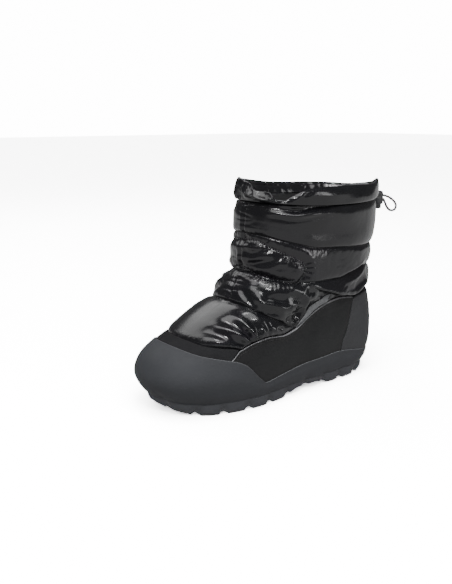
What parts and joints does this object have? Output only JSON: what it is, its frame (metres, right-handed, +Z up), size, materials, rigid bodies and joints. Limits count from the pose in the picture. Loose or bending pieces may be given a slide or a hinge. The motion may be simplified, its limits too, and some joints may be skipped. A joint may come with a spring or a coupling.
{
  "type": "apres ski boot",
  "caption": "Padded ankle-high winter boot for the left foot: quilted nylon upper and shaft, matte side panels, rubber cup sole with toe bumper, lugged tread and a drawcord collar.",
  "frame": {"origin": "on the floor, under the middle of the boot's box, the drawcord and its lock left out", "axes": "+Z up, -Y towards the toe, +Y towards the heel, +X towards the outer side of the left foot"},
  "size_m": [0.1138, 0.3373, 0.2191],
  "materials": {
    "tread_rubber": "matte",
    "sidewall_rubber": "satin",
    "foam": "matte",
    "quilted_nylon": "gloss",
    "softshell": "matte",
    "nubuck": "matte",
    "moulded_counter": "matte",
    "webbing": "matte",
    "lock_plastic": "matte",
    "cord": "matte"
  },
  "bodies": {
    "boot": {"outsole": "tread_rubber", "cup_sole": "sidewall_rubber", "insole": "foam", "upper": "quilted_nylon", "vamp_strip": "softshell", "side_panel_outer": "nubuck", "side_panel_inner": "nubuck", "heel_counter": "moulded_counter", "heel_tab": "softshell", "side_tape": "webbing", "collar": "quilted_nylon", "cord_lock_body": "lock_plastic", "draw_cord": "cord"},
    "button": {"cord_lock_button": "lock_plastic"}
  },
  "joints": [
    {"name": "button_press", "type": "slide", "parent": "boot", "child": "button", "axis": [0, 0, 1], "range_m": [0, 0.003], "stiffness_N_per_m": 500, "springref_m": -0.002}
  ]
}
